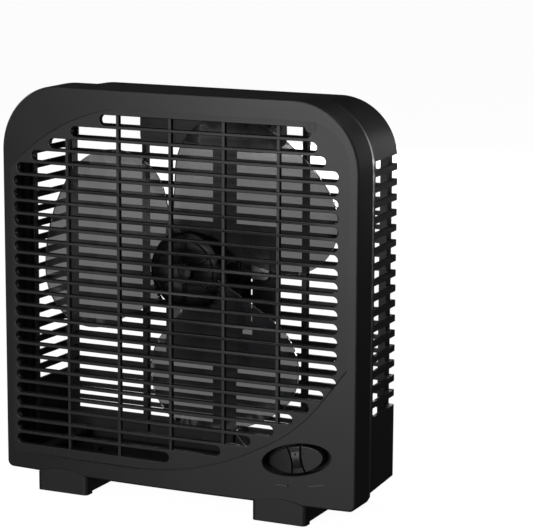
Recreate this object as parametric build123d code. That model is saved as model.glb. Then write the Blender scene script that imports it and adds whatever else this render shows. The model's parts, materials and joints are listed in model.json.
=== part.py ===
from build123d import *
import os
from math import atan2, cos, hypot, radians, sin, sqrt

# Table box fan. +X is the fan's left-to-right as seen from the front, -Y is the front, +Z is up.
# The origin is on the surface that the feet stand on, under the middle of the overall box.
# A depth is measured backwards from the rim plane of the bowed face, and a height upwards from
# the underside of the shells; depth_y() and height_z() turn them into Y and Z.

# ---- driving dimensions (mm) ----
WIDTH = 300.0
SHELL_HEIGHT = 306.0
TOP_RADIUS = 52.0          # top corners of the face
LOW_RADIUS = 5.0           # bottom corners
BOW = 5.7                  # how far the middle of the face stands in front of its rim
BACK_DEPTH = 89.3          # rim plane to the back
FOOT_HEIGHT = 14.5
WALL = 2.4

SIDE_FLAT = 27.0           # the front shell's side is flat this far back, then rolls inwards
ROLL_DEPTH = 32.4
RIM_DEPTH = 36.6           # where the front shell ends and the rear shell begins
ROLL_INSET = 1.1
RIM_INSET = 3.8
BACK_INSET = 5.4
RIM_WALL = 2.3

# front grille
SLOT_COUNT = 26
SLOT_PITCH = 10.305
SLOT_HEIGHT = 7.9
FIRST_SLOT_HEIGHT = 282.2  # centre of the top slot
GRILLE_SIDE = 140.0        # left ends of the long slots
GRILLE_SIDE_RIGHT = 134.3  # right ends of the long slots
UPRIGHT_COUNT = 5
UPRIGHT_PITCH = 44.6
UPRIGHT_MIDDLE = -3.0
UPRIGHT_WIDTH = 2.2
BAR_DEPTH = 4.6
DISH_HALF_WIDTH = 143.0    # the dished field meets the face at this distance from the middle
DISH_BOW = 2.2

# rear grille and side louvres
LOUVRE_COUNT = 17
LOUVRE_PITCH = 11.75
LOUVRE_GAP = 7.0
FIRST_LOUVRE_HEIGHT = 66.5
LOUVRE_FRONT = 42.0
POST_INNER, POST_OUTER = 134.0, 140.0
POST_DEPTH = 9.3
SLAT_ROWS = 24
SLAT_PITCH = 10.75
SLAT_GAP = 7.3
FIRST_ROW_HEIGHT = 34.3
CORNER_HEIGHT = SHELL_HEIGHT - TOP_RADIUS
CENTRE_POST_WIDTH = 18.0
GRIP_WIDTH, GRIP_MIDDLE = 112.0, -4.0   # carrying recess in the top of the back
GRIP_LOW, GRIP_HIGH, GRIP_FRONT = 256.0, 299.0, 58.0
SIDE_POST_X, SIDE_POST_WIDTH = 70.0, 4.0

# impeller and motor
AXIS_HEIGHT = 167.5
BLADE_RADIUS = 129.0
BLADE_TIPS = (-47.5, 52.0)   # a blade's sides at its tip and at its root, in degrees either way
BLADE_ROOTS = (-66.0, 30.0)  # from its middle line; both sides sweep
BLADE_CORNER = 44.0
BLADE_COUNT = 3
FIRST_BLADE_ANGLE = 45.5
BLADE_MIDDLE = 31.5        # depth of the middle of a blade
BLADE_RISE = 15.0          # depth gained for each radian across a blade
BLADE_THICKNESS = 2.0
HUB_RADIUS = 31.0
HUB_FRONT, HUB_BACK = 16.0, 43.5
SHAFT_RADIUS = 3.0
RUNNING_GAP = 0.03
CORE_FRONT, CORE_BACK = 54.0, 72.0
CORE_HALF_WIDTH = 30.0
ROTOR_RADIUS = 13.6
ROTOR_BORE = 14.1
FRAME_WIDTH, FRAME_LOW, FRAME_HIGH = 94.0, 84.0, 194.0
FRAME_BAR = 18.0
FRAME_FRONT = 76.0
STRAP_X = 24.0             # motor bolts
MOUNT_X, MOUNT_RISE = 38.0, 8.0

# speed selector: an oval button that slides along an oval well (half lengths and half heights)
SELECTOR_X, SELECTOR_HEIGHT = 103.3, 35.8
SELECTOR_TILT = 11.3
SELECTOR_LEAN = 3.0        # the bowed face is this far from square to Y here
HOLE_LENGTH, HOLE_WIDTH = 28.2, 12.1
KNOB_LENGTH, KNOB_WIDTH = 21.0, 10.5
KNOB_CROWN = 150.0         # radius of the button's crowned top
KNOB_SUNK = 0.3
WELL_FLOOR = 12.5
SWITCH_FRONT, SWITCH_BACK = 14.0, 26.0
SLOT_TRAVEL = 6.0
STEM_WIDTH, STEM_HEIGHT = 7.0, 6.8
BRACKET_X = 35.0

# feet
FOOT_X, FOOT_SHIFT = 93.65, -4.1   # the pair of feet sits a little left of the middle
FOOT_WIDTH = 44.5
FOOT_BACK = 84.0
FOOT_LIP = 2.0
ARCH_RISE = 4.5

# fasteners
CASE_SCREWS = ((-125.0, 13.0), (125.0, 13.0), (-112.0, 287.0), (112.0, 287.0))
FOOT_SCREWS = ((20.0, 6.2), (52.0, 9.0))     # depth and height of the tip
SCREW_RADIUS = 1.5
GLAND_X, GLAND_HEIGHT = 100.0, 19.0

Y_RIM = (BOW - BACK_DEPTH) / 2
FACE_RADIUS = ((WIDTH / 2) ** 2 + BOW ** 2) / (2 * BOW)
DISH_RADIUS = (DISH_HALF_WIDTH ** 2 + DISH_BOW ** 2) / (2 * DISH_BOW)


def depth_y(depth):
    return Y_RIM + depth


def height_z(height):
    return FOOT_HEIGHT + height


def spot(x, depth, height):
    """A place given by side, depth and height."""
    return Pos(x, depth_y(depth), height_z(height))


def plane_at(depth):
    """Upright plane at a depth: its own x is X and its own y is height."""
    return Plane(origin=(0, depth_y(depth), height_z(0)), x_dir=(1, 0, 0), z_dir=(0, -1, 0))


def slab(sketch, front, back):
    """Extrude a front-view sketch from one depth to another."""
    return extrude(plane_at(back) * sketch, back - front)


def rod(x, height, radius, front, back):
    """Round bar along Y."""
    return slab(Pos(x, height) * Circle(radius), front, back)


def upright(x, depth, radius, low, high):
    """Round bar along Z."""
    return spot(x, depth, (low + high) / 2) * Cylinder(radius, high - low)


def bow(middle_depth, radius):
    """Everything behind an upright cylindrical surface that is foremost at the middle."""
    return Pos(0, depth_y(middle_depth) + radius, height_z(SHELL_HEIGHT / 2)) * Cylinder(radius, 420)


def face_depth(x):
    """Depth of the bowed face at a side position."""
    return BOW * ((2 * x / WIDTH) ** 2 - 1)


def outline(inset):
    """Front view of the housing, drawn in by an inset all round."""
    high = SHELL_HEIGHT - 2 * inset
    sheet = Pos(0, SHELL_HEIGHT / 2) * Rectangle(WIDTH - 2 * inset, high)
    sheet = fillet(sheet.vertices().group_by(Axis.Y)[-1], TOP_RADIUS - inset)
    return fillet(sheet.vertices().group_by(Axis.Y)[0], max(LOW_RADIUS - inset, 1.5))


def lofted(stations):
    """Loft of housing outlines given as (depth, inset)."""
    return loft([plane_at(depth) * outline(inset) for depth, inset in stations], ruled=True)


# ---- housing ----
def front_block():
    block = slab(outline(0), -BOW, SIDE_FLAT) & bow(-BOW, FACE_RADIUS)
    face = block.faces().sort_by(Axis.Y)[0]
    block = fillet(face.edges(), 1.6)
    roll = lofted([(SIDE_FLAT, 0), (ROLL_DEPTH, ROLL_INSET), (RIM_DEPTH, RIM_INSET)])
    return block + roll


def rear_block():
    return lofted([(RIM_DEPTH, RIM_INSET), (BACK_DEPTH, BACK_INSET)])


def dish_sketch(grow=0.0):
    """Outline of the dished grille field; its side edges run into the face."""
    side, low, high = DISH_HALF_WIDTH + grow, 13.5 - grow, 291.0 + grow
    top_left = ThreePointArc((-side, 240), (-105 - grow, 271 + grow), (-52, high))
    top = Line((-52, high), (112, high))
    top_right = ThreePointArc((112, high), (133 + grow / 2, 281 + grow / 2), (side, 262))
    right = Line((side, 262), (side, 108))
    low_right = ThreePointArc((side, 108), (66 + grow, 38 - grow), (-30, low))
    bottom = Line((-30, low), (-side, low))
    left = Line((-side, low), (-side, 240))
    return make_face([top_left, top, top_right, right, low_right, bottom, left])


def slot_ends(height):
    """Left and right ends of the grille slot at a height: upright sides and three sweeping arcs."""
    left, right = -GRILLE_SIDE, GRILLE_SIDE_RIGHT
    if height > 235:
        left = max(left, 12.9 - sqrt(235.9 ** 2 - (height - 58.7) ** 2))
        right = min(right, 181.5 - sqrt(74.6 ** 2 - (height - 309.2) ** 2))
    if height < 100:
        right = min(right, sqrt(227.3 ** 2 - (height - 249.9) ** 2) - 34.2)
    return left, right


def grille_slots():
    rows = Sketch()
    for row in range(SLOT_COUNT):
        height = FIRST_SLOT_HEIGHT - row * SLOT_PITCH
        left, right = slot_ends(height)
        rows += Pos((left + right) / 2, height) * SlotOverall(right - left, SLOT_HEIGHT)
    return slab(rows, -BOW - 1, 12)


def slot_edges(shell, centre_y):
    """Front edges of the grille slots: those that lie on the dished field's cylinder."""
    found = []
    for edge in shell.edges():
        size = edge.bounding_box().size
        ends = [hypot(point.X, point.Y - centre_y) for point in (edge @ 0, edge @ 0.5, edge @ 1)]
        on_field = all(abs(end - DISH_RADIUS) < 0.02 for end in ends)
        high = size.Z < 0.1 and size.X > 60 or abs(size.Z - SLOT_HEIGHT) < 0.2
        inside = height_z(14) < edge.center().Z < height_z(290)
        if on_field and high and inside:
            found.append(edge)
    return found


def front_shell():
    cavity = slab(outline(WALL), -BOW, SIDE_FLAT) & bow(WALL - BOW, FACE_RADIUS)
    cavity += lofted([(SIDE_FLAT, WALL), (RIM_DEPTH, RIM_INSET + RIM_WALL)])
    shell = front_block() - cavity
    dish_front = -BOW * (1 - (2 * DISH_HALF_WIDTH / WIDTH) ** 2) - DISH_BOW
    field_back = bow(dish_front + BAR_DEPTH, DISH_RADIUS)
    field = slab(dish_sketch(2.4), -BOW, 12) & bow(-BOW, FACE_RADIUS)
    shell += (field & slab(outline(1), -BOW, 12)) - field_back
    shell -= slab(dish_sketch(), -BOW - 1, 12) - bow(dish_front, DISH_RADIUS)
    shell -= grille_slots()
    shell = fillet(slot_edges(shell, depth_y(dish_front) + DISH_RADIUS), 0.5)
    uprights = Sketch()
    for number in range(UPRIGHT_COUNT):
        x = UPRIGHT_MIDDLE + (number - (UPRIGHT_COUNT - 1) / 2) * UPRIGHT_PITCH
        uprights += Pos(x, 150) * Rectangle(UPRIGHT_WIDTH, 300)
    ribs = slab(uprights & dish_sketch(-1), -BOW, 12)
    shell += (ribs & bow(dish_front + 0.7, DISH_RADIUS)) - field_back
    for x, height in CASE_SCREWS:
        shell += rod(x, height, 4.5, face_depth(x) + 1, RIM_DEPTH - 0.1)
        shell -= rod(x, height, SCREW_RADIUS, RIM_DEPTH - 16, RIM_DEPTH)
    shell -= selector_hole()
    for side in (-1, 1):
        shell += selector_frame() * peg(side * BRACKET_X, 3.5, 1.2, SWITCH_BACK)
        shell -= selector_frame() * peg(side * BRACKET_X, 1.3, SWITCH_BACK - 11, SWITCH_BACK)
    return with_foot_bosses(shell, FOOT_SCREWS[0], WALL / 2)


def with_foot_bosses(shell, screw, root):
    """Add the bosses that the foot screws bite into, rising from inside the floor."""
    depth, tip = screw
    for side in (-1, 1):
        x = foot_middle(side)
        shell += upright(x, depth, 4.0, root, tip + 0.6)
        shell -= upright(x, depth, 1.5, -1, tip)
    return shell


def rear_slats():
    """Rows of openings in the back, narrower where the top corners round in."""
    rows = Sketch()
    for row in range(SLAT_ROWS):
        height = FIRST_ROW_HEIGHT + row * SLAT_PITCH
        half = POST_INNER
        rise = height + SLAT_GAP / 2 - CORNER_HEIGHT
        if rise > 0:
            half = WIDTH / 2 - TOP_RADIUS + sqrt((POST_INNER - WIDTH / 2 + TOP_RADIUS) ** 2 - rise ** 2)
        rows += Pos(0, height) * Rectangle(2 * half, SLAT_GAP)
    return slab(rows, BACK_DEPTH - 14, BACK_DEPTH + 1)


def side_louvres():
    """Openings in one side wall that run out through the back edge as far as the corner post."""
    gaps = Part()
    for number in range(LOUVRE_COUNT):
        height = FIRST_LOUVRE_HEIGHT + number * LOUVRE_PITCH
        length = BACK_DEPTH + 1 - LOUVRE_FRONT
        gaps += spot(POST_OUTER + 5, LOUVRE_FRONT + length / 2, height) * Box(10, length, LOUVRE_GAP)
    return gaps


def tongue():
    """Ring on the front of the rear shell that fits inside the front shell's rim."""
    ring = slab(outline(RIM_INSET + RIM_WALL + 0.3), RIM_DEPTH - 4, RIM_DEPTH + 2)
    ring += slab(outline(RIM_INSET + 1), RIM_DEPTH, RIM_DEPTH + 2)
    return ring - slab(outline(RIM_INSET + RIM_WALL + 1.9), RIM_DEPTH - 5, RIM_DEPTH + 3)


def rear_shell():
    block = rear_block()
    back = block.faces().sort_by(Axis.Y)[-1]
    block = fillet(back.edges(), 1.4)
    shell = block - lofted([(RIM_DEPTH - 1, RIM_INSET + WALL), (BACK_DEPTH - WALL, BACK_INSET + WALL)])
    shell += tongue()
    posts = Sketch()
    for side in (-1, 1):
        middle = (POST_INNER + POST_OUTER) / 2
        posts += Pos(side * middle, (CORNER_HEIGHT + 60) / 2) * Rectangle(6, CORNER_HEIGHT - 52)
        posts += Pos(side * (POST_OUTER + 2), (CORNER_HEIGHT + 60) / 2) * Rectangle(5, CORNER_HEIGHT - 52)
    shell += slab(posts, BACK_DEPTH - POST_DEPTH, BACK_DEPTH - 1.4)
    shell -= rear_slats()
    louvres = side_louvres()
    shell -= louvres
    shell -= mirror(louvres, Plane.YZ)
    uprights = Pos(0, 155) * Rectangle(CENTRE_POST_WIDTH, 275)
    for side in (-1, 1):
        uprights += Pos(side * SIDE_POST_X, 155) * Rectangle(SIDE_POST_WIDTH, 275)
    shell += slab(uprights, BACK_DEPTH - 6, BACK_DEPTH)
    shell += motor_frame()
    shell += grip_recess(0, GRIP_FRONT, BACK_DEPTH)
    shell -= grip_recess(WALL, GRIP_FRONT + WALL, BACK_DEPTH + 1)
    for x, height in CASE_SCREWS:
        shell += rod(x, height, 4.5, RIM_DEPTH + 0.1, BACK_DEPTH - 0.5)
        shell -= rod(x, height, SCREW_RADIUS + 0.3, RIM_DEPTH, RIM_DEPTH + 6)
        shell -= rod(x, height, 3.2, RIM_DEPTH + 5, BACK_DEPTH + 1)
    shell -= rod(GLAND_X, GLAND_HEIGHT, 6.0, BACK_DEPTH - 5, BACK_DEPTH + 1)
    for side in (-1, 1):
        post = rod(GLAND_X + side * 12, GLAND_HEIGHT, 3.2, BACK_DEPTH - 12, BACK_DEPTH - 1)
        shell += post - rod(GLAND_X + side * 12, GLAND_HEIGHT, 1.2, BACK_DEPTH - 12, BACK_DEPTH - 4)
    return with_foot_bosses(shell, FOOT_SCREWS[1], RIM_INSET + WALL / 2)


def grip_recess(inset, front, back):
    """Block for the hand recess at the top of the back, drawn in by an inset all round."""
    high, low = GRIP_HIGH - inset, GRIP_LOW + inset
    sketch = Pos(GRIP_MIDDLE, (high + low) / 2) * RectangleRounded(GRIP_WIDTH - 2 * inset, high - low, 8 - inset)
    return slab(sketch, front, back)


def motor_frame():
    """Square frame on the back grille that carries the motor."""
    middle = (FRAME_LOW + FRAME_HIGH) / 2
    frame = Rectangle(FRAME_WIDTH, FRAME_HIGH - FRAME_LOW)
    frame -= Rectangle(FRAME_WIDTH - 2 * FRAME_BAR, FRAME_HIGH - FRAME_LOW - 2 * FRAME_BAR)
    ring = slab(Pos(0, middle) * frame, FRAME_FRONT, BACK_DEPTH)
    for x, height in mount_points():
        ring -= rod(x, height, 1.4, FRAME_FRONT - 1, FRAME_FRONT + 9)
    return ring


# ---- feet ----
def foot_middle(side):
    return side * FOOT_X + FOOT_SHIFT


def foot(side):
    """Long moulded foot, open underneath, whose front plate laps the face in an arch."""
    middle, width = foot_middle(side), FOOT_WIDTH
    front = face_depth(middle) - 1.2
    length = FOOT_BACK - front
    body = spot(middle, front + length / 2, (8 - FOOT_HEIGHT) / 2) * Box(width, length, FOOT_HEIGHT + 8)
    body = fillet(body.edges().filter_by(Axis.Z), 3.5)
    keep = Pos(middle, -40) * Rectangle(width + 2, 80)
    arch_radius = (width ** 2 / 4 + ARCH_RISE ** 2) / (2 * ARCH_RISE)
    arch = slab(Pos(middle, ARCH_RISE - arch_radius) * Circle(arch_radius), front - 5, 6)
    flank = slab(keep, front - 5, SIDE_FLAT) + slab(Pos(middle, -30) * Rectangle(width + 2, 76), SIDE_FLAT, 90)
    body = body & (arch + flank)
    body -= front_block()
    body -= rear_block()
    behind_lip = front + 9
    cut_length = FOOT_BACK + 1 - behind_lip
    body -= spot(middle, behind_lip + cut_length / 2, -FOOT_HEIGHT) * Box(width + 2, cut_length, 2 * FOOT_LIP)
    for start, end in ((12, 36), (40, 62)):
        pocket = spot(middle, (start + end) / 2, -FOOT_HEIGHT / 2 - 2) * Box(width - 6, end - start, FOOT_HEIGHT - 3)
        body -= pocket
    for depth, tip in FOOT_SCREWS:
        body += upright(middle, depth, 4.0, FOOT_LIP - FOOT_HEIGHT, -2)
        body -= upright(middle, depth, 1.6, -FOOT_HEIGHT, tip)
    return body


def foot_pad(side):
    middle = foot_middle(side)
    return fillet((spot(middle, 73, FOOT_LIP / 2 - FOOT_HEIGHT) * Box(36, 14, FOOT_LIP)).edges().filter_by(Axis.Z), 3)


def foot_screws():
    """Pan-head screws up through the bosses of both feet."""
    group = Part()
    low = FOOT_LIP - FOOT_HEIGHT
    for side in (-1, 1):
        x = foot_middle(side)
        for depth, tip in FOOT_SCREWS:
            head = upright(x, depth, 3.2, low - 1.5, low)
            group += fillet(head.edges().group_by(Axis.Z)[0], 0.6)
            group += upright(x, depth, 1.5, low, tip)
    return group


# ---- impeller ----
def blade_section(reach):
    """Thin curved strip across a blade, square to its middle line at one reach from the axis."""
    steps = (-112, -70, -38, -16, 0, 16, 38, 70, 112)
    upper = [(t, BLADE_MIDDLE + BLADE_RISE * atan2(t, reach)) for t in steps]
    lower = [(t, depth + BLADE_THICKNESS) for t, depth in upper]
    edge = Spline(upper)
    rest = Spline(lower)
    sheet = make_face([edge, rest, Line(upper[0], lower[0]), Line(upper[-1], lower[-1])])
    plane = Plane(origin=(0, Y_RIM, height_z(AXIS_HEIGHT) + reach), x_dir=(1, 0, 0), z_dir=(0, 0, 1))
    return plane * sheet


def blade_outline():
    """Broad petal with swept sides and well rounded tip corners, seen from the front."""
    tip, root = [
        [(radius * sin(a), radius * cos(a)) for a in map(radians, (sides[0], sum(sides) / 2, sides[1]))]
        for radius, sides in ((BLADE_RADIUS, BLADE_TIPS), (HUB_RADIUS - 1.5, BLADE_ROOTS))
    ]
    sheet = make_face([ThreePointArc(*tip), ThreePointArc(*root), Line(tip[0], root[0]), Line(tip[2], root[2])])
    corners = sheet.vertices().sort_by(lambda v: v.X ** 2 + v.Y ** 2)[-2:]
    return fillet(corners, BLADE_CORNER)


def blade():
    sheet = loft([blade_section(reach) for reach in (10, 45, 85, 130)])
    return sheet & slab(Pos(0, AXIS_HEIGHT) * blade_outline(), -5, 75)


def turned(profile):
    """Revolve a (radius, depth) outline about the fan's axis."""
    sheet = make_face(Polyline(*profile, close=True))
    plane = Plane(origin=(0, Y_RIM, height_z(AXIS_HEIGHT)), x_dir=(1, 0, 0), z_dir=(0, 0, 1))
    return revolve(plane * sheet, Axis((0, 0, height_z(AXIS_HEIGHT)), (0, 1, 0)))


def impeller():
    cup = turned([(SHAFT_RADIUS, HUB_FRONT + 1), (9, HUB_FRONT + 1), (11, HUB_FRONT), (25, HUB_FRONT),
                  (29.4, HUB_FRONT + 1.6), (HUB_RADIUS, HUB_FRONT + 6), (HUB_RADIUS, HUB_BACK),
                  (HUB_RADIUS - 2.4, HUB_BACK), (HUB_RADIUS - 2.4, HUB_FRONT + 6), (24, HUB_FRONT + 2.6),
                  (8, HUB_FRONT + 2.6), (8, HUB_BACK - 2), (SHAFT_RADIUS, HUB_BACK - 2)])
    one = blade()
    turner = Axis((0, 0, height_z(AXIS_HEIGHT)), (0, 1, 0))
    for number in range(BLADE_COUNT):
        angle = 90 - FIRST_BLADE_ANGLE - number * 360 / BLADE_COUNT
        cup += one.rotate(turner, angle)
    return cup


def hub_cap():
    low = HUB_FRONT + 0.8
    return turned([(0, low - 4.6), (3.5, low - 4.2), (6.6, low - 2.4), (7.8, low), (SHAFT_RADIUS, low),
                   (SHAFT_RADIUS, low - 1.6), (0, low - 1.6)])


def motor_shaft():
    return rod(0, AXIS_HEIGHT, SHAFT_RADIUS, HUB_FRONT - 0.8, 82)


def motor_rotor():
    return rod(0, AXIS_HEIGHT, ROTOR_RADIUS, CORE_FRONT, CORE_BACK) - rod(0, AXIS_HEIGHT, SHAFT_RADIUS, 40, 80)


def thrust_washers():
    bore = rod(0, AXIS_HEIGHT, SHAFT_RADIUS, 40, 82)
    washers = rod(0, AXIS_HEIGHT, 5.5, CORE_FRONT - 0.7, CORE_FRONT) - bore
    return washers + (rod(0, AXIS_HEIGHT, 5.5, CORE_BACK, CORE_BACK + 0.7) - bore)


# ---- motor ----
def motor_core():
    """Laminated C frame: rotor bore above, coil window and coil limb below."""
    low, high = AXIS_HEIGHT - 52, AXIS_HEIGHT + 24
    plate = Pos(0, (low + high) / 2) * RectangleRounded(2 * CORE_HALF_WIDTH, high - low, 3)
    plate -= Pos(0, AXIS_HEIGHT) * Circle(ROTOR_BORE)
    plate -= Pos(0, AXIS_HEIGHT - 31) * Rectangle(40, 20)
    for side in (-1, 1):
        plate -= Pos(side * STRAP_X, AXIS_HEIGHT) * Circle(1.8)
    return slab(plate, CORE_FRONT, CORE_BACK)


def limb_box(width, margin, low_margin):
    """Block round the coil limb, which is 11 mm high and as thick as the core."""
    thick = CORE_BACK - CORE_FRONT
    centre = spot(0, (CORE_FRONT + CORE_BACK) / 2, AXIS_HEIGHT - 46.5)
    return centre * Box(width, thick + 2 * margin, 11 + 2 * low_margin)


def coil_bobbin():
    spool = limb_box(38, 1.6, 1.6)
    for side in (-1, 1):
        spool += Pos(side * 18.2, 0, 0) * limb_box(1.6, 7.6, 8.2)
    return spool - limb_box(60, 0.1, 0.1)


def motor_coil():
    return limb_box(34.6, 6.8, 7.4) - limb_box(60, 1.7, 1.7)


def shading_rings():
    """Copper loops let into the core beside the rotor bore."""
    group = Part()
    for side in (-1, 1):
        loop = Pos(side * 12.0, AXIS_HEIGHT + side * 15.4) * Rot(0, 0, side * 38) * RectangleRounded(9, 5, 1)
        loop -= Pos(side * 12.0, AXIS_HEIGHT + side * 15.4) * Rot(0, 0, side * 38) * Rectangle(5, 1.8)
        group += slab(loop, CORE_FRONT - 1.4, CORE_FRONT - 0.1)
    return group


def bearing_strap(width, height, front, back, nose_front, nose_back):
    """Cast strap across the core with a bearing housing at its middle."""
    strap = slab(Pos(0, AXIS_HEIGHT) * RectangleRounded(width, height, 4), front, back)
    strap += rod(0, AXIS_HEIGHT, 8.4, nose_front, nose_back)
    strap -= rod(0, AXIS_HEIGHT, 6, nose_front - 9, nose_back + 9)
    for side in (-1, 1):
        strap -= rod(side * STRAP_X, AXIS_HEIGHT, 1.8, front - 1, back + 1)
    return strap


def front_bearing_bracket():
    return bearing_strap(58, 20, CORE_FRONT - 2.4, CORE_FRONT, CORE_FRONT - 7, CORE_FRONT - 1.4)


def rear_bearing_bracket():
    strap = bearing_strap(90, 26, CORE_BACK, CORE_BACK + 2.4, CORE_BACK + 1.4, CORE_BACK + 9)
    for x, height in mount_points():
        strap -= rod(x, height, 1.8, CORE_BACK - 1, CORE_BACK + 4)
    return strap


def bearing(front, back):
    return rod(0, AXIS_HEIGHT, 6, front, back) - rod(0, AXIS_HEIGHT, SHAFT_RADIUS + RUNNING_GAP, front - 1, back + 1)


def mount_points():
    points = []
    for side in (-1, 1):
        for rise in (-MOUNT_RISE, MOUNT_RISE):
            points.append((side * MOUNT_X, AXIS_HEIGHT + rise))
    return points


def motor_bolts():
    group = Part()
    for side in (-1, 1):
        group += rod(side * STRAP_X, AXIS_HEIGHT, 1.75, CORE_FRONT - 2.4, CORE_BACK + 6)
        group += slab(Pos(side * STRAP_X, AXIS_HEIGHT) * RegularPolygon(3.4, 6), CORE_FRONT - 4.8, CORE_FRONT - 2.4)
    return group


def motor_nuts():
    group = Part()
    for side in (-1, 1):
        nut = slab(Pos(side * STRAP_X, AXIS_HEIGHT) * RegularPolygon(3.5, 6), CORE_BACK + 2.4, CORE_BACK + 4.8)
        group += nut - rod(side * STRAP_X, AXIS_HEIGHT, 1.75, CORE_BACK, CORE_BACK + 6)
    return group


def motor_cushions():
    group = Part()
    for x, height in mount_points():
        group += rod(x, height, 4, CORE_BACK + 2.4, FRAME_FRONT) - rod(x, height, 1.6, CORE_BACK, FRAME_FRONT + 1)
    return group


def mount_screws():
    group = Part()
    for x, height in mount_points():
        group += rod(x, height, 1.4, CORE_BACK - 0.1, FRAME_FRONT + 7)
        group += rod(x, height, 3.0, CORE_BACK - 1.8, CORE_BACK)
    return group


# ---- speed selector: its own frame starts on the face, with x along the oval, y backwards and z across it ----
def selector_frame():
    place = spot(SELECTOR_X, face_depth(SELECTOR_X), SELECTOR_HEIGHT)
    return place * Rot(0, -SELECTOR_TILT, 0) * Rot(0, 0, SELECTOR_LEAN)


def oval(length, width, front, back):
    """Oval block in the selector's frame, given by half length and half width."""
    return extrude(Plane.XZ.offset(-back) * Ellipse(length, width), back - front)


def peg(x, radius, front, back):
    """Round bar in the selector's frame."""
    return extrude(Plane.XZ.offset(-back) * Pos(x, 0) * Circle(radius), back - front)


def block(size, x, front, back, z=0.0):
    """Box in the selector's frame: size is (length, height)."""
    return Pos(x, (front + back) / 2, z) * Box(size[0], back - front, size[1])


def speed_knob():
    """Oval button with a waisted grip fin between two grooves, three grip pips and a stem to the switch."""
    knob = oval(KNOB_LENGTH, KNOB_WIDTH, -3, 7) & Pos(0, KNOB_SUNK + KNOB_CROWN, 0) * Cylinder(KNOB_CROWN, 40)
    crown = knob.faces().sort_by(Axis.Y)[0]
    knob = fillet(crown.edges(), 0.7)
    groove_radius = 31.0
    plan = Rectangle(9.0, 2 * KNOB_WIDTH)
    for side in (-1, 1):
        ring = Circle(groove_radius + 1.8) - Circle(groove_radius)
        centre = side * (2.9 + groove_radius)
        cut = extrude(Plane.XZ.offset(-2.8) * Pos(centre + side * 1.8, 0) * ring, 8)
        knob -= cut & block((24, 30), side * 6, -4, 3)
        plan -= Pos(centre, 0) * Circle(groove_radius)
    fin = extrude(Plane.XZ.offset(-2) * plan, 3.4) & oval(KNOB_LENGTH, KNOB_WIDTH - 0.3, -3, 7)
    fin = fin & Pos(0, 21.0, 0) * Rot(0, 90, 0) * Cylinder(21.6, 20)
    knob += fin
    knob -= oval(KNOB_LENGTH - 2.2, KNOB_WIDTH - 2.2, 4.6, 8)
    for rise in (-4.4, 0, 4.4):
        knob += Pos(0, 0.35 - 0.6 + 21.6 - sqrt(21.6 ** 2 - rise ** 2), rise) * Sphere(0.9)
    knob += block((STEM_WIDTH, STEM_HEIGHT), 0, 3, SWITCH_FRONT + 5.5)
    return selector_frame() * knob


def selector_hole():
    """Oval hole in the face with a broken front edge."""
    mouth = [Plane.XZ.offset(-depth) * Ellipse(HOLE_LENGTH + grow, HOLE_WIDTH + grow) for depth, grow in ((-0.6, 1.2), (0.6, 0))]
    return selector_frame() * (oval(HOLE_LENGTH, HOLE_WIDTH, -3, 6) + loft(mouth))


def selector_well():
    """Oval cup behind the hole in the face, with a slot in its floor for the button's stem."""
    cup = oval(HOLE_LENGTH + 1.7, HOLE_WIDTH + 1.7, WALL + 0.35, SWITCH_FRONT)
    cup -= oval(HOLE_LENGTH + 0.2, HOLE_WIDTH + 0.2, 0, WELL_FLOOR)
    return selector_frame() * (cup - block((STEM_WIDTH + 2 * SLOT_TRAVEL + 0.6, STEM_HEIGHT + 0.4), 0, 8, 16))


def slide_switch():
    body = block((34, 14), 0, SWITCH_FRONT, SWITCH_BACK)
    body = fillet(body.edges().filter_by(Axis.Y), 1)
    body -= block((STEM_WIDTH + 2 * SLOT_TRAVEL + 0.6, STEM_HEIGHT + 0.4), 0, SWITCH_FRONT - 1, SWITCH_FRONT + 6)
    return selector_frame() * body


def switch_tabs():
    group = Part()
    for number in range(4):
        group += block((2.8, 0.8), 5 * number - 7.5, SWITCH_BACK, SWITCH_BACK + 6, -5.2)
    return selector_frame() * group


def selector_bracket():
    """Bar across the back of the switch that clamps it and the well against the face."""
    bar = fillet(block((2 * BRACKET_X + 8, 7), 0, SWITCH_BACK, SWITCH_BACK + 1.5).edges().filter_by(Axis.Y), 2)
    for side in (-1, 1):
        bar -= peg(side * BRACKET_X, 1.5, SWITCH_BACK - 1, SWITCH_BACK + 3)
    return selector_frame() * bar


def bracket_screws():
    group = Part()
    for side in (-1, 1):
        group += peg(side * BRACKET_X, 1.3, SWITCH_BACK - 9, SWITCH_BACK + 1.5)
        group += peg(side * BRACKET_X, 2.8, SWITCH_BACK + 1.5, SWITCH_BACK + 3.1)
    return selector_frame() * group


def selector_marks():
    """Low raised dashes under the oval: a short one for low speed and a long one for high."""
    marks = Pos(-14.6, -17.3) * Rot(0, 0, -SELECTOR_TILT) * Rectangle(9.0, 0.9)
    marks += Pos(12.4, -20.8) * Rectangle(13.0, 0.9)
    raised = selector_frame() * extrude(Plane.XZ.offset(-1) * marks, 3)
    return (raised & bow(-BOW - 0.35, FACE_RADIUS)) - bow(-BOW, FACE_RADIUS)


# ---- fasteners, inlet and wiring ----
def case_screws():
    group = Part()
    for x, height in CASE_SCREWS:
        group += rod(x, height, SCREW_RADIUS, RIM_DEPTH - 12, RIM_DEPTH + 5)
        group += rod(x, height, 3.0, RIM_DEPTH + 5, RIM_DEPTH + 7)
    return group


def cord_gland():
    """Bush in the back wall, flush with it, where a supply cord enters."""
    bush = rod(GLAND_X, GLAND_HEIGHT, 5.9, BACK_DEPTH - 5.2, BACK_DEPTH)
    bush += rod(GLAND_X, GLAND_HEIGHT, 7.6, BACK_DEPTH - 5.2, BACK_DEPTH - WALL - 0.1)
    return bush - rod(GLAND_X, GLAND_HEIGHT, 3.6, BACK_DEPTH - 6, BACK_DEPTH + 1)


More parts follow.
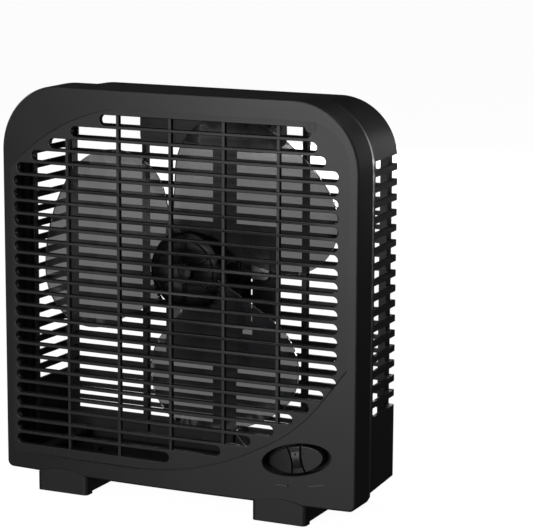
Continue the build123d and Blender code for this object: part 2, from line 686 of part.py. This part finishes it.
def cord_clamp():
    bar = slab(Pos(GLAND_X, GLAND_HEIGHT) * RectangleRounded(32, 8, 3), BACK_DEPTH - 15, BACK_DEPTH - 12)
    bar -= rod(GLAND_X, GLAND_HEIGHT, 3.3, BACK_DEPTH - 16, BACK_DEPTH - 11)
    for side in (-1, 1):
        bar -= rod(GLAND_X + side * 12, GLAND_HEIGHT, 1.4, BACK_DEPTH - 16, BACK_DEPTH - 11)
    return bar


def clamp_screws():
    group = Part()
    for side in (-1, 1):
        group += rod(GLAND_X + side * 12, GLAND_HEIGHT, 1.2, BACK_DEPTH - 15.1, BACK_DEPTH - 5)
        group += rod(GLAND_X + side * 12, GLAND_HEIGHT, 2.4, BACK_DEPTH - 16.6, BACK_DEPTH - 15)
    return group


LEAD_RADIUS = 1.8
LEAD_ROUTE = ((9.0, 72.5, 107.9), (9.0, 72.5, 60.0), (12.0, 72.5, 34.0), (30.0, 71.0, 16.0),
              (62.0, 68.0, 12.5), (88.0, 62.5, 13.0), (102.6, 54.0, 17.0), (102.6, 42.0, 29.5), (102.6, 30.6, 30.4))


def motor_lead():
    """Sleeved lead from the coil down the centre post and along the floor to the selector switch."""
    points = [(x, depth_y(depth), height_z(height)) for x, depth, height in LEAD_ROUTE]
    runs = [(Vector(*b) - Vector(*a)) for a, b in zip(points, points[1:])]
    radii = []
    for first, second in zip(runs, runs[1:]):
        half_turn = radians(first.get_angle(second)) / 2
        radii.append(0.45 * min(first.length, second.length) * cos(half_turn) / sin(half_turn))
    path = FilletPolyline(*points, radius=radii)
    return sweep(Plane(origin=path @ 0, z_dir=path % 0) * Circle(LEAD_RADIUS), path=path)


def lead_clips():
    """Two saddles that hold the lead to the motor frame and the centre post."""
    bore = Pos(9, depth_y(72.5), height_z(76)) * Cylinder(LEAD_RADIUS + 0.05, 60)
    group = spot(9, 72.95, 92) * Box(8, 6.1, 5)
    group += spot(9, 76.4, 76) * Box(8, 13.8, 5)
    return group - bore


def parts():
    return {
        "front_shell": front_shell(),
        "rear_shell": rear_shell(),
        "left_foot": foot(-1),
        "right_foot": foot(1),
        "left_foot_pad": foot_pad(-1),
        "right_foot_pad": foot_pad(1),
        "foot_screws": foot_screws(),
        "impeller": impeller(),
        "hub_cap": hub_cap(),
        "motor_shaft": motor_shaft(),
        "motor_rotor": motor_rotor(),
        "thrust_washers": thrust_washers(),
        "motor_core": motor_core(),
        "coil_bobbin": coil_bobbin(),
        "motor_coil": motor_coil(),
        "shading_rings": shading_rings(),
        "front_bearing_bracket": front_bearing_bracket(),
        "rear_bearing_bracket": rear_bearing_bracket(),
        "front_bearing": bearing(CORE_FRONT - 7, CORE_FRONT - 1),
        "rear_bearing": bearing(CORE_BACK + 1, CORE_BACK + 9),
        "motor_bolts": motor_bolts(),
        "motor_nuts": motor_nuts(),
        "motor_cushions": motor_cushions(),
        "mount_screws": mount_screws(),
        "speed_knob": speed_knob(),
        "selector_well": selector_well(),
        "selector_bracket": selector_bracket(),
        "bracket_screws": bracket_screws(),
        "slide_switch": slide_switch(),
        "switch_tabs": switch_tabs(),
        "selector_marks": selector_marks(),
        "case_screws": case_screws(),
        "cord_gland": cord_gland(),
        "cord_clamp": cord_clamp(),
        "clamp_screws": clamp_screws(),
        "motor_lead": motor_lead(),
        "lead_clips": lead_clips(),
    }


os.makedirs("parts", exist_ok=True)
for name, solid in parts().items():
    export_step(solid, f"parts/{name}.step")
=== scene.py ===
import json
from math import atan2, hypot, pi, radians

import bpy
from mathutils import Matrix, Vector


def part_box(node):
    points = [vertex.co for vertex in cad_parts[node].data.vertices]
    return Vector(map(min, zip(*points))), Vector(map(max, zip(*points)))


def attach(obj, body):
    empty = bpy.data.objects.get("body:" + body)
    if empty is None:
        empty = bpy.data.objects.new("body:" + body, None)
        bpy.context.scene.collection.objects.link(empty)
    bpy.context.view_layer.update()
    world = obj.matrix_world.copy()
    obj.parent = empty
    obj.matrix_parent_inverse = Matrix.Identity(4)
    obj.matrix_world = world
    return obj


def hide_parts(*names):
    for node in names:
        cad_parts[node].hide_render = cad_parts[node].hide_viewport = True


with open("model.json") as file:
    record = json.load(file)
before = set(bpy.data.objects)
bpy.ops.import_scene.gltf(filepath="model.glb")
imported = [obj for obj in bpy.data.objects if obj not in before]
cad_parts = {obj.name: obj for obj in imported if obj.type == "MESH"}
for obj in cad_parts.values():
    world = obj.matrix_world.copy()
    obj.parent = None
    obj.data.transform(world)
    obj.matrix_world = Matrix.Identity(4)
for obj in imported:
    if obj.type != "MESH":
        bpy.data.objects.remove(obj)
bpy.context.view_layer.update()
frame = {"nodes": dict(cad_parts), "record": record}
bpy.ops.object.select_all(action="DESELECT")

# ---- places taken from the frame ----
shaft_low, shaft_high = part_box("motor_shaft")
AXIS_X, AXIS_Z = (shaft_low[0] + shaft_high[0]) / 2, (shaft_low[2] + shaft_high[2]) / 2
HUB_FACE = shaft_low[1] + 0.0008     # Y of the flat front of the hub
HUB_EDGE = 0.0312                    # anything further from the axis than this is blade
AXIS = Vector((AXIS_X, HUB_FACE, AXIS_Z))
FACE_BOW = 0.0057                    # how far the face's side edges lie behind its middle
SHELL_FOOT = 0.0145                  # height of the housing's underside above the floor
# Lower edge of the sunken grille field: side position, and height above the housing's underside.
FIELD_EDGE = [
    (-0.120, 0.0135), (-0.080, 0.0132), (-0.030, 0.0132), (0.020, 0.0205),
    (0.0662, 0.0378), (0.105, 0.0625), (0.1425, 0.1075),
]


# ---- camera ----
camera_data = bpy.data.cameras.new("camera")
camera_data.lens = 156.0
camera_data.sensor_width = 36.0
camera = bpy.data.objects.new("camera", camera_data)
bpy.context.collection.objects.link(camera)
camera.matrix_world = (
    Matrix.Translation((0.7887, -1.5676, 0.51185))
    @ Matrix.Rotation(radians(25.017), 4, "Z")
    @ Matrix.Rotation(radians(79.39), 4, "X")
    @ Matrix.Rotation(radians(0.277), 4, "Z")
)
bpy.context.scene.camera = camera


# ---- materials ----
def new_material(name):
    material = bpy.data.materials.new(name)
    material.use_nodes = True
    nodes = material.node_tree.nodes
    return material, nodes, material.node_tree.links, nodes["Principled BSDF"]


def vary(nodes, links, source, low, high, socket):
    """Spread a 0 to 1 pattern over a range and feed it to a shader socket."""
    spread = nodes.new("ShaderNodeMapRange")
    spread.inputs["To Min"].default_value = low
    spread.inputs["To Max"].default_value = high
    links.new(source, spread.inputs["Value"])
    links.new(spread.outputs["Result"], socket)


def tint(nodes, links, source, first, second, socket):
    """Blend two colours by a 0 to 1 pattern."""
    ramp = nodes.new("ShaderNodeValToRGB")
    ramp.color_ramp.elements[0].position, ramp.color_ramp.elements[1].position = 0.3, 0.7
    ramp.color_ramp.elements[0].color = (*first, 1)
    ramp.color_ramp.elements[1].color = (*second, 1)
    links.new(source, ramp.inputs["Fac"])
    links.new(ramp.outputs["Color"], socket)


def relief(nodes, links, source, strength, depth, shader):
    bump = nodes.new("ShaderNodeBump")
    bump.inputs["Strength"].default_value = strength
    bump.inputs["Distance"].default_value = depth
    links.new(source, bump.inputs["Height"])
    links.new(bump.outputs["Normal"], shader.inputs["Normal"])


def cloud(nodes, links, place, scale, detail=3.0):
    noise = nodes.new("ShaderNodeTexNoise")
    noise.inputs["Scale"].default_value = scale
    noise.inputs["Detail"].default_value = detail
    links.new(place, noise.inputs["Vector"])
    return noise.outputs["Fac"]


def moulded(name, colour, roughness, grain=0.06, grain_scale=1400.0, shift=0.1, **sockets):
    """Moulded plastic: cloudy tone and gloss, and a fine spark-eroded grain."""
    material, nodes, links, shader = new_material(name)
    for socket, value in sockets.items():
        shader.inputs[socket.replace("_", " ")].default_value = value
    place = nodes.new("ShaderNodeTexCoord").outputs["Object"]
    darker = [channel * (1 - shift) for channel in colour]
    lighter = [channel * (1 + shift) for channel in colour]
    tint(nodes, links, cloud(nodes, links, place, 9.0), darker, lighter, shader.inputs["Base Color"])
    patches = cloud(nodes, links, place, 22.0)
    vary(nodes, links, patches, roughness - 0.05, roughness + 0.05, shader.inputs["Roughness"])
    relief(nodes, links, cloud(nodes, links, place, grain_scale, 2.0), grain, 0.0002, shader)
    return material


def metal(name, colour, roughness, scale=(40.0, 900.0, 40.0), depth=0.15):
    """Machined or plated metal with fine drawn marks."""
    material, nodes, links, shader = new_material(name)
    shader.inputs["Metallic"].default_value = 1.0
    turn = nodes.new("ShaderNodeMapping")
    turn.inputs["Scale"].default_value = scale
    place = nodes.new("ShaderNodeTexCoord").outputs["Object"]
    links.new(place, turn.inputs["Vector"])
    marks = cloud(nodes, links, turn.outputs["Vector"], 1.0, 4.0)
    dull = [channel * 0.8 for channel in colour]
    tint(nodes, links, cloud(nodes, links, place, 160.0), dull, colour, shader.inputs["Base Color"])
    vary(nodes, links, marks, roughness - 0.08, roughness + 0.1, shader.inputs["Roughness"])
    relief(nodes, links, marks, depth, 0.0001, shader)
    return material


def banded(name, first, second, roughness, pitch, direction, depth=0.0002, **sockets):
    """Stacked or wrapped material: bands at a pitch along one axis, each edge standing a little proud."""
    material, nodes, links, shader = new_material(name)
    for socket, value in sockets.items():
        shader.inputs[socket.replace("_", " ")].default_value = value
    place = nodes.new("ShaderNodeTexCoord").outputs["Object"]
    wave = nodes.new("ShaderNodeTexWave")
    wave.bands_direction = direction
    wave.inputs["Scale"].default_value = 2 * pi / (20 * pitch)
    wave.inputs["Distortion"].default_value = 0.4
    links.new(place, wave.inputs["Vector"])
    tint(nodes, links, wave.outputs["Fac"], first, second, shader.inputs["Base Color"])
    patches = cloud(nodes, links, place, 120.0)
    vary(nodes, links, patches, roughness - 0.06, roughness + 0.08, shader.inputs["Roughness"])
    relief(nodes, links, wave.outputs["Fac"], 0.5, depth, shader)
    return material


finishes = {
    "charcoal_plastic": moulded("charcoal_plastic", (0.0120, 0.0121, 0.0126), 0.46, Specular_IOR_Level=0.5),
    "smoke_plastic": moulded(
        "smoke_plastic", (0.030, 0.0305, 0.033), 0.40, grain=0.01, grain_scale=500.0,
        Alpha=0.66, Specular_IOR_Level=0.25,
    ),
    "knob_plastic": moulded("knob_plastic", (0.0090, 0.0091, 0.0095), 0.40, grain=0.04, Specular_IOR_Level=0.4),
    "mark_plastic": moulded("mark_plastic", (0.050, 0.050, 0.051), 0.5),
    "pad_rubber": banded("pad_rubber", (0.010, 0.010, 0.010), (0.018, 0.018, 0.018), 0.8, 0.003, "X"),
    "ground_steel": metal("ground_steel", (0.62, 0.62, 0.63), 0.22),
    "zinc_steel": metal("zinc_steel", (0.50, 0.50, 0.48), 0.34),
    "core_steel": banded(
        "core_steel", (0.045, 0.045, 0.048), (0.10, 0.10, 0.105), 0.45, 0.0006, "Y", depth=0.0001, Metallic=1.0
    ),
    "rotor_aluminium": metal("rotor_aluminium", (0.5, 0.5, 0.51), 0.36),
    "bearing_bronze": metal("bearing_bronze", (0.45, 0.30, 0.15), 0.38),
    "washer_nylon": moulded("washer_nylon", (0.42, 0.40, 0.36), 0.42),
    "coil_tape": banded("coil_tape", (0.10, 0.070, 0.018), (0.16, 0.115, 0.03), 0.34, 0.004, "X"),
    "switch_plastic": moulded("switch_plastic", (0.12, 0.12, 0.115), 0.45),
    "lead_sleeve": moulded("lead_sleeve", (0.016, 0.016, 0.017), 0.45, grain=0.2, grain_scale=700.0),
}
# A darker, less glossy copy of the charcoal plastic: painted shade for the parts whose insides fall in shade.
painted_shade_charcoal = moulded("painted_shade_charcoal", (0.0100, 0.0101, 0.0106), 0.46, Specular_IOR_Level=0.42)
# Light grey for the blades' cut rims: a painted highlight where the edges catch light.
rim_highlight = moulded("rim_highlight", (0.42, 0.42, 0.44), 0.22, grain=0.0, Specular_IOR_Level=0.6)
hub_black = moulded("hub_black", (0.0030, 0.0030, 0.0032), 0.40, grain=0.04, Specular_IOR_Level=0.14)
slots = {part["node"]: part["material_slot"] for part in frame["record"]["subparts"]}
for node, part in frame["nodes"].items():
    part.data.materials.clear()
    part.data.materials.append(finishes[slots[node]])
# Painted shade: the rear shell, the selector well and the cord gland take the darker copy of the charcoal plastic.
for node in ("rear_shell", "selector_well", "cord_gland"):
    frame["nodes"][node].data.materials[0] = painted_shade_charcoal


# ---- mesh helpers ----
def deselect():
    bpy.ops.object.select_all(action="DESELECT")


def only(piece):
    deselect()
    piece.select_set(True)
    bpy.context.view_layer.objects.active = piece


def settle(name):
    """Name the new primitive and put its place into its mesh."""
    piece = bpy.context.object
    piece.name = name
    only(piece)
    bpy.ops.object.transform_apply(location=True, rotation=True, scale=True)
    return piece


def pick(piece, kind, test):
    """Open a piece for editing with only the faces or edges that pass a test selected."""
    only(piece)
    bpy.ops.object.mode_set(mode="EDIT")
    bpy.ops.mesh.select_mode(type=kind)
    bpy.ops.mesh.select_all(action="DESELECT")
    bpy.ops.object.mode_set(mode="OBJECT")
    mesh = piece.data
    if kind == "FACE":
        for face in mesh.polygons:
            face.select = test(face.center, face.normal)
    else:
        for edge in mesh.edges:
            ends = [mesh.vertices[v].co for v in edge.vertices]
            edge.select = test(*ends)
    bpy.ops.object.mode_set(mode="EDIT")


def close():
    bpy.ops.object.mode_set(mode="OBJECT")


def reach(point):
    """Distance from the fan's axis."""
    return hypot(point[0] - AXIS_X, point[2] - AXIS_Z)


def turned_copies(piece, count):
    """Copies of a piece round the fan's axis, joined into one."""
    copies = [piece]
    for number in range(1, count):
        copy = piece.copy()
        copy.data = piece.data.copy()
        turn = Matrix.Rotation(2 * pi * number / count, 4, "Y")
        copy.data.transform(Matrix.Translation(AXIS) @ turn @ Matrix.Translation(-AXIS))
        bpy.context.collection.objects.link(copy)
        copies.append(copy)
    only(piece)
    for copy in copies:
        copy.select_set(True)
    bpy.ops.object.join()
    return piece


def smooth(piece, angle=35.0):
    only(piece)
    bpy.ops.object.shade_smooth_by_angle(angle=radians(angle))


def hand_over(piece, body, slot, *materials):
    for material in materials:
        piece.data.materials.append(material)
    smooth(piece)
    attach(piece, body)
    deselect()


# ---- impeller ----
def impeller_moulding():
    """The three smoked blades on a black hub; the faces of their cut rims get a light grey finish, a painted
    highlight.
    """
    piece = frame["nodes"]["impeller"].copy()
    piece.data = piece.data.copy()
    piece.name = "impeller_moulding"
    piece.data.materials.clear()
    bpy.context.collection.objects.link(piece)
    only(piece)
    bpy.ops.object.mode_set(mode="EDIT")
    bpy.ops.mesh.select_all(action="SELECT")
    bpy.ops.mesh.remove_doubles(threshold=0.00001)
    close()
    hand_over(piece, "rotor", "smoke_plastic", finishes["smoke_plastic"], rim_highlight, hub_black)
    rim, hub = 1, 2        # places of the last two finishes on the piece
    rim_slope = 0.6        # a blade's broad sides face forwards or back more than this
    # Hub faces take the black; faces seen edge-on take the light grey rim finish, a painted highlight.
    for face in piece.data.polygons:
        if reach(face.center) < HUB_EDGE:
            face.material_index = hub
        elif abs(face.normal.y) < rim_slope:
            face.material_index = rim
    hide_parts("impeller")


def hub_ribs():
    """Six low radial ribs and a rolled ring on the front of the hub."""
    length, width, proud = 0.0125, 0.0022, 0.0012
    rib_radius, ring_radius, ring_round = 0.0165, 0.0242, 0.0009
    middle = AXIS + Vector((0, 0, rib_radius))
    bpy.ops.mesh.primitive_cube_add(size=1, location=middle, scale=(width, proud * 2, length))
    rib = settle("hub_ribs")
    pick(rib, "EDGE", lambda a, b: a.y < HUB_FACE and b.y < HUB_FACE)
    bpy.ops.mesh.bevel(offset=0.0005, segments=2)
    close()
    ribs = turned_copies(rib, 6)
    bpy.ops.mesh.primitive_torus_add(
        location=AXIS, rotation=(pi / 2, 0, 0), major_radius=ring_radius, minor_radius=ring_round,
        major_segments=96, minor_segments=10,
    )
    ring = settle("hub_ring")
    only(ribs)
    ring.select_set(True)
    bpy.ops.object.join()
    hand_over(ribs, "rotor", "charcoal_plastic", hub_black)


def spinner_nut():
    """Cap nut on the shaft: a gripped skirt, a stepped crown and a dimple."""
    low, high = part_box("hub_cap")
    gap, sides, radius = 0.0008, 48, 0.0066
    depth = high[1] - low[1] - gap
    middle = (AXIS_X, high[1] - gap - depth / 2, AXIS_Z)
    bpy.ops.mesh.primitive_cylinder_add(
        vertices=sides, radius=radius, depth=depth, location=middle, rotation=(pi / 2, 0, 0)
    )
    nut = settle("spinner_nut")
    pick(nut, "FACE", lambda centre, normal: normal.y < -0.9)
    bpy.ops.mesh.inset(thickness=0.0011)
    bpy.ops.mesh.extrude_region_move(TRANSFORM_OT_translate={"value": (0, -0.0001, 0)})
    bpy.ops.mesh.inset(thickness=0.0022)
    bpy.ops.mesh.extrude_region_move(TRANSFORM_OT_translate={"value": (0, 0.0012, 0)})
    close()
    step = 2 * pi / sides

    def is_grip(centre, normal):
        turn = atan2(centre.z - AXIS_Z, centre.x - AXIS_X) % (4 * step)
        return abs(normal.y) < 0.1 and reach(centre) > radius * 0.97 and turn < 2 * step

    pick(nut, "FACE", is_grip)
    bpy.ops.mesh.extrude_region_shrink_fatten(TRANSFORM_OT_shrink_fatten={"value": 0.0006})
    close()
    hand_over(nut, "rotor", "knob_plastic", finishes["knob_plastic"])
    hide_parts("hub_cap")


# ---- face ----
def face_y(x):
    """Y of the bowed face at a side position."""
    low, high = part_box("front_shell")
    half = (high[0] - low[0]) / 2
    return low[1] + FACE_BOW * (x / half) ** 2


def field_bead(name, points):
    """Fine rounded bead along the edge of the sunken grille field."""
    bpy.ops.curve.primitive_bezier_curve_add()
    curve = bpy.context.object
    curve.name = name
    spline = curve.data.splines[0]
    spline.bezier_points.add(len(points) - 2)
    for knot, (x, height) in zip(spline.bezier_points, points):
        knot.co = (x, face_y(x), SHELL_FOOT + height)
        knot.handle_left_type = knot.handle_right_type = "AUTO"
    curve.data.bevel_depth = 0.00035
    curve.data.bevel_resolution = 2
    curve.data.resolution_u = 24
    curve.data.use_fill_caps = True
    bpy.ops.object.convert(target="MESH")
    bead = settle(name)
    hand_over(bead, "housing", "charcoal_plastic", finishes["charcoal_plastic"])


field_bead("lower_field_bead", FIELD_EDGE)

impeller_moulding()
hub_ribs()
spinner_nut()


# ---- floor and light ----
# front_box lights the face. rear_box stands low behind the back, where neither the top nor the right wall sees it.
def pale_floor():
    bpy.ops.mesh.primitive_plane_add(size=60)
    floor = bpy.context.object
    floor.name = "floor"
    material, nodes, links, shader = new_material("floor_white")
    shader.inputs["Base Color"].default_value = (0.12, 0.12, 0.12, 1)
    shader.inputs["Roughness"].default_value = 0.9
    shader.inputs["Specular IOR Level"].default_value = 0.0
    shader.inputs["Emission Color"].default_value = (1, 1, 1, 1)
    shader.inputs["Emission Strength"].default_value = 0.97
    floor.data.materials.append(material)
    floor.visible_glossy = False
    floor.visible_diffuse = False
    deselect()


def soft_box(name, size, place, aim, watts):
    data = bpy.data.lights.new(name, "AREA")
    data.shape = "RECTANGLE"
    data.size, data.size_y = size
    data.energy = watts
    lamp = bpy.data.objects.new(name, data)
    lamp.location = place
    lamp.rotation_mode = "QUATERNION"
    lamp.rotation_quaternion = (Vector(aim) - Vector(place)).to_track_quat("-Z", "Y")
    bpy.context.collection.objects.link(lamp)


pale_floor()
middle = (0.0, 0.0, 0.17)
soft_box("front_box", (0.8, 0.8), (-0.20, -1.8, 0.45), (0.05, 0.0, 0.2), 20)
soft_box("upper_box", (0.6, 0.3), (0.1, -1.0, 1.5), middle, 3)
soft_box("left_box", (0.3, 0.5), (-1.6, 0.3, 0.7), middle, 10)
soft_box("back_box", (1.0, 0.6), (1.2, 1.2, 2.0), middle, 7)
soft_box("rear_box", (0.8, 0.16), (-0.4, 2.0, 0.1), middle, 30)
soft_box("roll_strip", (0.2, 0.4), (0.25, 2.0, 0.25), middle, 3)
soft_box("edge_strip", (0.15, 0.7), (1.9, -0.95, 0.3), middle, 3)

world = bpy.data.worlds.new("studio")
bpy.context.scene.world = world
world.use_nodes = True
world.node_tree.nodes["Background"].inputs["Color"].default_value = (0.95, 0.97, 1.0, 1)
world.node_tree.nodes["Background"].inputs["Strength"].default_value = 0.02
bpy.context.scene.view_settings.view_transform = "Standard"
